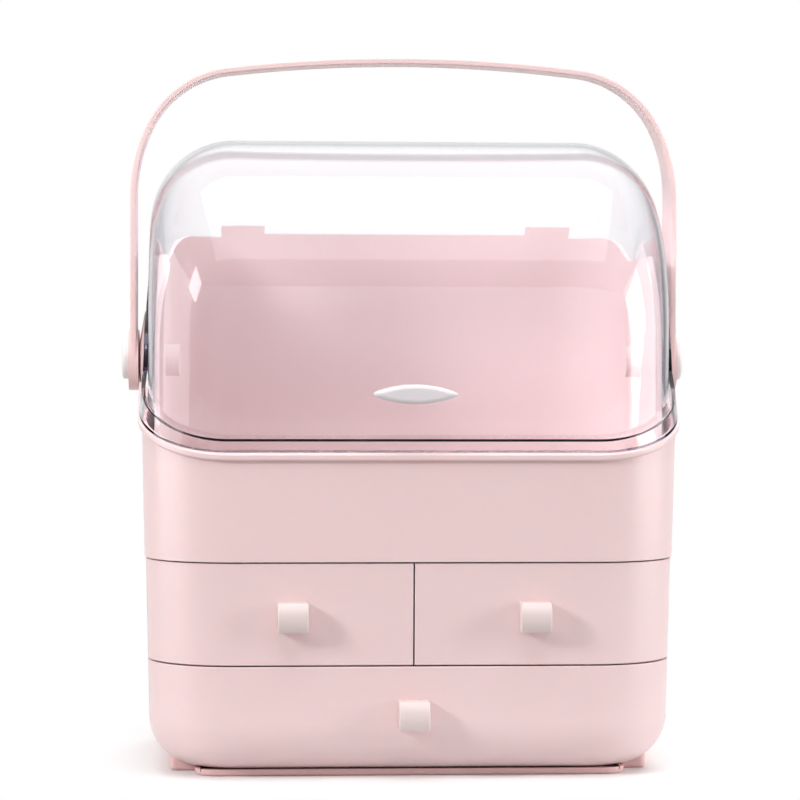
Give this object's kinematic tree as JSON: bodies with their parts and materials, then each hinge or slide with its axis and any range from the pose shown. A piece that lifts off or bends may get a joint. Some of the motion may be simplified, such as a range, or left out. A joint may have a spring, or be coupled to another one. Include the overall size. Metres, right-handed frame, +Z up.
{
  "type": "makeup storage case with handle",
  "caption": "Cosmetics case with a clear domed lid that turns back on side pivots, a swinging carry handle, an open tray and small drawers with square knobs.",
  "frame": {"origin": "centre of the foot plate's underside, on the surface the case stands on", "axes": "+Z up, the drawers pull out towards -Y, +X to the right of someone facing the front"},
  "size_m": [0.315, 0.2322, 0.3904],
  "materials": {
    "pink_plastic": "gloss",
    "clear_plastic": "clear gloss",
    "tab_plastic": "gloss",
    "cap_plastic": "gloss",
    "tub_plastic": "satin",
    "knob_plastic": "gloss",
    "steel": "zinc plated"
  },
  "bodies": {
    "case": {"base_plate": "pink_plastic", "drawer_case": "pink_plastic", "upper_tray": "pink_plastic", "rear_shell": "pink_plastic", "pivot_hub_left": "pink_plastic", "pivot_hub_right": "pink_plastic", "pivot_screw_left": "steel", "pivot_screw_right": "steel", "pivot_washer_left": "steel", "pivot_washer_right": "steel", "pivot_cap_left": "cap_plastic", "pivot_cap_right": "cap_plastic", "tray_screws": "steel", "base_screws": "steel"},
    "lid": {"clear_lid": "clear_plastic", "lid_pull_tab": "tab_plastic"},
    "handle": {"handle": "pink_plastic"},
    "drawer_left": {"drawer_front_left": "pink_plastic", "drawer_tub_left": "tub_plastic", "drawer_knob_left": "knob_plastic", "knob_screw_left": "steel"},
    "drawer_right": {"drawer_front_right": "pink_plastic", "drawer_tub_right": "tub_plastic", "drawer_knob_right": "knob_plastic", "knob_screw_right": "steel"},
    "drawer_lower": {"drawer_front_lower": "pink_plastic", "drawer_tub_lower": "tub_plastic", "drawer_knob_lower": "knob_plastic", "knob_screw_lower": "steel"}
  },
  "joints": [
    {"name": "lid_hinge", "type": "hinge", "parent": "case", "child": "lid", "pos_m": [0, 0, 0.2211], "axis": [-1, 0, 0], "range_deg": [0, 58]},
    {"name": "handle_hinge", "type": "hinge", "parent": "case", "child": "handle", "pos_m": [0, 0, 0.2211], "axis": [-1, 0, 0], "range_deg": [-130, 130]},
    {"name": "drawer_left_slide", "type": "slide", "parent": "case", "child": "drawer_left", "axis": [0, -1, 0], "range_m": [0, 0.12]},
    {"name": "drawer_right_slide", "type": "slide", "parent": "case", "child": "drawer_right", "axis": [0, -1, 0], "range_m": [0, 0.12]},
    {"name": "drawer_lower_slide", "type": "slide", "parent": "case", "child": "drawer_lower", "axis": [0, -1, 0], "range_m": [0, 0.12]}
  ]
}
